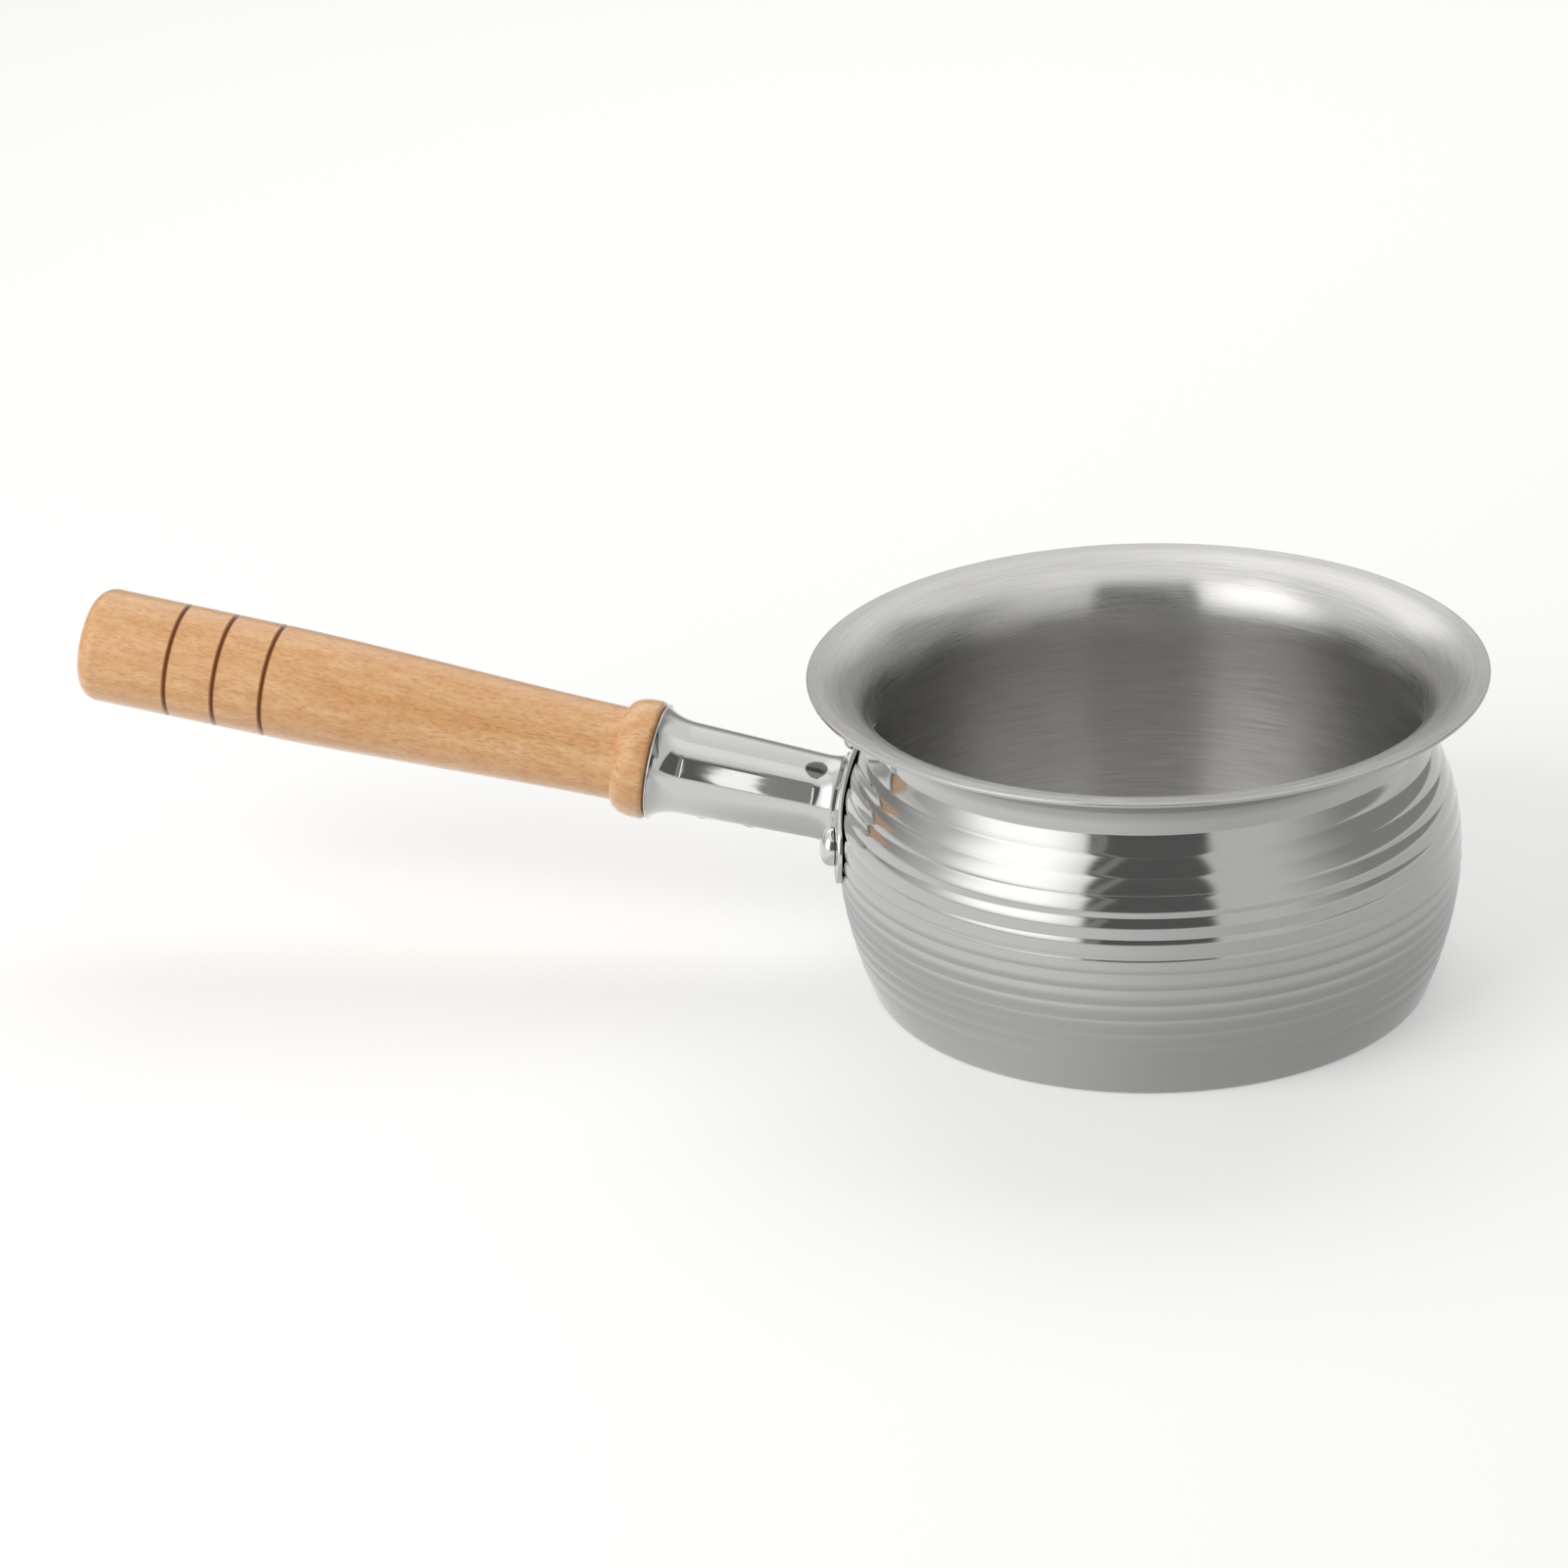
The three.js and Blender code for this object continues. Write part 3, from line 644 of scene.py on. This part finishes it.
# Profile of the grip: tenon, collar with a rounded front and an elliptic fall, swell, grooved end and butt
def gripProfile():
    g = grip
    tenonEnd = socket["length"] - g["tenonLength"]
    tenon = sleeveLine(tenonEnd, socket["wall"] + g["gap"], 6)
    collarEnd = gripStart + g["collarLength"]
    pull = g["swellFullness"] * (firstGroove - collarEnd)
    close = g["grooveWidth"] / 2 * np.linspace(-g["closeReach"], g["closeReach"], g["closeSteps"])
    plain = np.linspace(firstGroove, gripEnd - g["buttRounding"], g["plainSteps"])
    clear = np.abs(plain[:, None] - grooves).min(1) > g["grooveWidth"]
    along = np.unique(np.r_[(grooves[:, None] + close).ravel(), plain[clear]])
    return chain(
        straight((0, tenonEnd), tenon[0], 4),
        tenon,
        straight(tenon[-1], (tenon[-1, 0], gripStart), 2),
        arc((g["collarRadius"] - g["collarRounding"], gripStart + g["collarRounding"]),
            (g["collarRounding"], g["collarRounding"]), -90, 0, g["collarSteps"]),
        arc((g["waistRadius"], collarEnd - g["collarFall"]),
            (g["collarRadius"] - g["waistRadius"], g["collarFall"]), 0, 90, g["fallSteps"]),
        bezier([(g["waistRadius"], collarEnd),
                (g["waistRadius"], collarEnd + pull),
                (g["grooveRadius"], firstGroove - pull),
                (g["grooveRadius"], firstGroove - g["grooveWidth"])], g["swellSteps"]),
        buttLine(along),
        arc((g["buttRadius"] - g["buttRounding"], gripEnd - g["buttRounding"]),
            (g["buttRounding"], g["buttRounding"]), 0, 90, g["buttSteps"]),
        straight((g["buttRadius"] - g["buttRounding"], gripEnd), (0, gripEnd), 8))


# Beech turned, sanded and lacquered: pale tan, faint growth bands along the handle, soft mottling, fine
# short flecks, and grooves darkened by a burn together with painted shade. Each layer is noise drawn out
# along the grip.
def lacqueredBeech():
    w = woodLooks
    material = newMaterial("lacquered_beech")
    place = addNode(material, "TexCoord").outputs["Object"]
    own = addNode(material, "Mapping", {
        "Vector": place, "Location": handlePlace.translation * mm, "Rotation": handlePlace.to_euler()},
        vector_type="TEXTURE").outputs[0]
    colour = linear(w["ground"])
    for shade, width, length, detail, noiseRough, bend, low, high, cover in w["layers"].values():
        drawn = addNode(material, "VectorMath", {0: own, 1: (1, 1, width / length)}, operation="MULTIPLY")
        noise = addNode(material, "TexNoise", {
            "Vector": drawn.outputs[0], "Scale": 1 / (width * mm), "Detail": detail,
            "Roughness": noiseRough, "Distortion": bend}).outputs["Fac"]
        mask = addNode(material, "MapRange", {
            "Value": noise, "From Min": low, "From Max": high, "To Max": cover})
        colour = addNode(material, "MixRGB", {
            "Fac": mask.outputs[0], "Color1": colour, "Color2": linear(shade)}).outputs[0]
    # grooves darkened by the burn and by painted shade of the recess
    burnAndShadeMask = addNode(material, "Attribute", attribute_name="burn_and_groove_shade")
    colour = addNode(material, "MixRGB", {
        "Fac": burnAndShadeMask.outputs["Fac"], "Color1": colour, "Color2": linear(w["burn_and_groove_shade"])}).outputs[0]
    bump = addNode(material, "Bump", {  # the last layer, which is the flecks
        "Height": noise, "Strength": w["fleckBump"], "Distance": w["fleckDepth"] * mm})
    return finishMaterial(material, addNode(material, "BsdfPrincipled", {
        "Base Color": colour, "Roughness": w["roughness"], "Specular IOR Level": w["specular"], "IOR": 1.5,
        "Coat Weight": 1.0, "Coat Roughness": w["lacquerRough"], "Normal": bump.outputs[0]}))


# The groove's dark colour, a burn together with painted shade of the groove, fades from full in a groove to
# none at its reach
def makeGrip():
    profile = gripProfile()
    grid = turned(profile, grip["around"], handlePlace)
    piece = skin("handle_grip_turned", grid, lengths(profile), poles=True, crease=35)
    nearest = np.abs(profile[:, 1:] - grooves).min(1)
    burn_and_groove_shade = np.clip(grip["burnAndShadeReach"] - nearest / (grip["grooveWidth"] / 2), 0, 1)
    spread = np.r_[burn_and_groove_shade[0], np.repeat(burn_and_groove_shade[1:-1], grip["around"]), burn_and_groove_shade[-1]]
    piece.data.attributes.new("burn_and_groove_shade", "FLOAT", "POINT").data.foreach_set("value", spread)
    fitOut(piece, "handle_grip", "lacquered_beech", lacqueredBeech())


makeGrip()


# Screws under the sleeve

screws = {
    "fromMouth": 13.4, "pitch": 12.5, "headRadius": 2.6, "headHeight": 1.0, "headSink": 0.2,
    "shankRadius": 1.5, "length": 9.0, "tip": 2.0,
    "slotWidth": 0.55, "slotReach": 1.35, "slotDepth": 0.6, "slotSlope": 0.08,
    "around": 96, "domeSteps": 48,
}
screwNames = ["handle_screw_outer", "handle_screw_inner"]


# Dome with a cross cut into it: the dome's height less the slot's depth where either bar of the cross
# lies. The slot's sides fall over a short slope.
def makeScrew(name, number, material):
    s = screws
    along = socket["length"] - s["fromMouth"] - number * s["pitch"]
    seat = (Matrix.Translation((-taperRadius(along) - clearance, 0, along))
            @ Matrix.Rotation(-math.pi / 2, 4, "Y"))
    profile = chain(
        straight((0, -s["length"] - s["tip"]), (s["shankRadius"], -s["length"]), 4),
        straight((s["shankRadius"], -s["length"]), (s["shankRadius"], -s["headSink"]), 4),
        straight((s["shankRadius"], -s["headSink"]), (s["headRadius"], -s["headSink"]), 3),
        arc((0, 0), (s["headRadius"], s["headHeight"]), 0, 90, s["domeSteps"]))
    profile[-1, 0] = 0
    grid = turned(profile, s["around"])
    x, y, z = np.moveaxis(grid, -1, 0)
    bars = [np.minimum(s["slotWidth"] / 2 - np.abs(across), s["slotReach"] - np.abs(way))
            for across, way in ((x, y), (y, x))]
    cut = np.clip(np.maximum(*bars) / s["slotSlope"] + 0.5, 0, 1)
    grid[:, :, 2] -= np.where(z > 0, s["slotDepth"] * cut, 0)
    piece = skin(name + "_cross", placed(grid, handlePlace @ seat), lengths(profile), poles=True)
    fitOut(piece, name, "screw_steel", material)


screwSteel = mirrorSteel("zinc_plated_screw_steel", steelLooks["screwColour"], steelLooks["screwRough"])
for screwNumber, screwName in enumerate(screwNames):
    makeScrew(screwName, screwNumber, screwSteel)


# Studio

studio = {
    "floorColour": "#d9d9d7", "floorGlow": 0.36, "floorSize": 9000.0, "ambient": 0.42,
    "lamps": {  # azimuth and elevation from the pan, distance, width and height in m, brightness
        "left_softbox": (-132, 34, 1.6, 1.1, 1.1, 2.6),
        "back_softbox": (95, 52, 1.7, 1.6, 1.0, 1.6),
    },
    "screenRadius": 2000, "screenTone": 0.88, "screenSteps": 91, "tableLift": 0.2,
    "nearRings": (60, 200, 57), "farRings": (210, 40),  # rings of the table, close together round the pan
    "screenBoxes": {  # azimuth, elevation, half width and height, soft edge across and up, brightness
        "ceiling": (0, 90, 180, 14, 10, 30, 1.25),
        "low_back": (99, 0, 60, 14, 40, 16, 0.40),
        "back_glow": (99, 62, 70, 26, 30, 9, 1.05),
        "back_softbox": (122, 52, 10, 16, 26, 10, 1.5),
        "right_flag": (22, 8, 16, 24, 44, 16, 0.40),
        "left_softbox": (-131, 27, 8, 16, 31, 22, 2.2),
        "dark_front": (-81, 16, 21, 30, 4, 10, 0.16),
    },
    "tableTone": 0.88,
    "tableLightAndShadeBoxes": {  # the same, with radii from the pan's axis in mm in place of elevations: painted shade of the pan round its foot, a painted lit left side and a painted shaded right side
        "left_table_painted_light": (-150, 300, 25, 300, 60, 100, 1.1),
        "right_table_painted_shade": (-20, 300, 25, 300, 60, 100, 0.75),
        "foot_shade": (0, 0, 180, 76, 1, 75, 0.60),
        "back_foot_painted_shade": (130, 0, 35, 76, 40, 60, 0.5),
        "left_foot_painted_shade": (-140, 0, 22, 76, 50, 60, 0.82),
        "right_foot_painted_shade": (-10, 0, 25, 76, 60, 60, 0.52),
    },
    "gaps": {  # leaning strips before the screen: y, brightness, width, then (x, z) up the middle, in m
        "lit_gap": (-1.43, 1.7, 0.028, (
            (-0.242, 0.03), (-0.199, 0.32), (-0.143, 0.70), (-0.076, 1.25), (-0.004, 2.0))),
        "near_card": (-0.72, 0.36, 0.06, (
            (-0.133, 0.04), (-0.112, 0.185), (-0.083, 0.375), (-0.050, 0.65), (-0.013, 1.025))),
    },
}
camera = {
    "place": (176.55, -1117.89, 551.97), "azimuth": 13.615, "tilt": 66.24, "roll": -2.48,
    "lens": 112.5, "sensor": 36.0, "farthest": 50000.0,
}


def makeCamera():
    data = bpy.data.cameras.new("camera")
    data.lens, data.sensor_width = camera["lens"], camera["sensor"]
    data.clip_end = camera["farthest"] * mm
    eye = bpy.data.objects.new("camera", data)
    turn = [Matrix.Rotation(math.radians(camera[key]), 4, axis)
            for key, axis in (("azimuth", "Z"), ("tilt", "X"), ("roll", "Z"))]
    eye.matrix_world = Matrix.Translation(Vector(camera["place"]) * mm) @ turn[0] @ turn[1] @ turn[2]
    bpy.context.scene.collection.objects.link(eye)
    bpy.context.scene.camera = eye


# 1 for rays that show the background: from the camera, by reflection or through glass
def shownRays(owner):
    path = addNode(owner, "LightPath").outputs
    total = path["Is Camera Ray"]
    for key in ("Is Glossy Ray", "Is Transmission Ray"):
        total = addNode(owner, "Math", {0: total, 1: path[key]}, operation="MAXIMUM").outputs[0]
    return total


# White where it is shown, and a weaker fill light elsewhere
def makeWorld():
    world = bpy.data.worlds.new("studio")
    bpy.context.scene.world = world
    world.use_nodes = True
    level = addNode(world, "MapRange", {"Value": shownRays(world), "To Min": studio["ambient"]})
    background = world.node_tree.nodes["Background"]
    background.inputs["Color"].default_value = (1, 1, 1, 1)
    world.node_tree.links.new(level.outputs[0], background.inputs["Strength"])


# Sheet between two edges that have the same number of points
def sheetBetween(name, first, second):
    count = len(first)
    mesh = bpy.data.meshes.new(name)
    row = np.arange(count - 1)
    faces = np.stack([row, row + count, row + count + 1, row + 1], -1)
    mesh.from_pydata(np.vstack([first, second]).tolist(), [], faces.tolist())
    sheet = bpy.data.objects.new(name, mesh)
    bpy.context.scene.collection.objects.link(sheet)
    return sheet


# Matt white paper: pale, no gloss, with a little glow on shown rays so that it is white where it is lit
def makeFloor():
    half = studio["floorSize"] / 2 * mm
    edges = [[(-half, y, 0), (half, y, 0)] for y in (half, -half)]
    floor = sheetBetween("floor", *edges)
    material = newMaterial("matt_white_paper")
    glow = addNode(material, "Math", {0: shownRays(material), 1: studio["floorGlow"]}, operation="MULTIPLY")
    floor.data.materials.append(finishMaterial(material, addNode(material, "BsdfPrincipled", {
        "Base Color": linear(studio["floorColour"]), "Roughness": 1.0, "Specular IOR Level": 0.0,
        "Emission Color": (1, 1, 1, 1), "Emission Strength": glow.outputs[0]})))


# Softbox: an area lamp facing the pan. Its brightness is its power over four times its area.
# It lights the matt surfaces, and the metal shows it as a soft box on the screen below.
def makeLamps():
    for name, (azimuth, elevation, distance, width, height, brightness) in studio["lamps"].items():
        data = bpy.data.lights.new(name, "AREA")
        data.shape, data.size, data.size_y = "RECTANGLE", width, height
        data.energy = 4 * width * height * brightness
        lamp = bpy.data.objects.new(name, data)
        a, e = math.radians(azimuth), math.radians(elevation)
        way = Vector((math.cos(a) * math.cos(e), math.sin(a) * math.cos(e), math.sin(e)))
        turn = way.to_track_quat("Z", "Y").to_matrix().to_4x4()
        lamp.matrix_world = Matrix.Translation(way * distance) @ turn
        lamp.visible_camera = lamp.visible_glossy = False
        bpy.context.scene.collection.objects.link(lamp)


# Glowing cloth that only reflections show, as the lamps and flags round a studio table do
def hangCloth(sheet, strength):
    material = newMaterial(sheet.name + "_cloth")
    glow = addNode(material, "Attribute", attribute_name="glow")
    sheet.data.attributes.new("glow", "FLOAT", "POINT").data.foreach_set("value", strength)
    sheet.data.materials.append(finishMaterial(material, addNode(
        material, "Emission", {"Strength": glow.outputs["Fac"]})))
    material.cycles.emission_sampling = "NONE"
    sheet.visible_camera = sheet.visible_diffuse = sheet.visible_shadow = False


# Tones over azimuths and places along a profile. Each box is laid over the last: full tone inside its
# half sizes, falling away smoothly over its soft edges
def layTones(azimuth, place, tone, boxes):
    tones = np.full((len(place), len(azimuth)), tone)
    for a, middle, width, height, softAcross, softUp, brightness in boxes.values():
        aside = np.abs((azimuth[None, :] - a + 180) % 360 - 180)
        above = np.abs(place[:, None] - middle)
        across = smooth((width + softAcross - aside) / softAcross)
        up = smooth((height + softUp - above) / softUp)
        tones += across * up * (brightness - tones)
    return tones


# Dome round the table, with a table top painted with the pan's soft shade and with light and shade on its
# sides, which only reflections show
def makeScreen():
    radius, steps = studio["screenRadius"], studio["screenSteps"]
    azimuth = np.arange(-180, 180)
    elevation = np.linspace(0, 90, steps)
    farStart, farCount = studio["farRings"]
    radii = np.r_[0, np.linspace(*studio["nearRings"]), np.geomspace(farStart, radius, farCount)]
    top = np.stack([radii, np.full(len(radii), studio["tableLift"])], 1)
    profile = np.vstack([top, arc((0, 0), (radius, radius), 0, 90, steps)[1:]])
    # the table's rows carry the painted shade and light, and the dome's rows the lamps and flags
    tones = np.vstack([layTones(azimuth, radii, studio["tableTone"], studio["tableLightAndShadeBoxes"]),
                       layTones(azimuth, elevation, studio["screenTone"], studio["screenBoxes"])[1:]])
    columns = len(azimuth)
    grid = np.roll(turned(profile, columns), columns // 2, axis=1)  # first column at azimuth -180
    screen = skin("studio_screen", grid, lengths(profile), poles=True)
    hangCloth(screen, np.r_[tones[0, 0], tones[1:-1].ravel(), tones[-1, 0]])
    for name, (y, brightness, width, middle) in studio["gaps"].items():
        x, z = np.array(middle).T
        edges = [np.stack([x + side, 0 * x + y, z], -1) for side in (-width / 2, width / 2)]
        hangCloth(sheetBetween(name, *edges), np.full(2 * len(x), brightness))


makeCamera()
makeWorld()
makeFloor()
makeLamps()
makeScreen()
bpy.context.scene.view_settings.view_transform = "Standard"
print("studio ready")
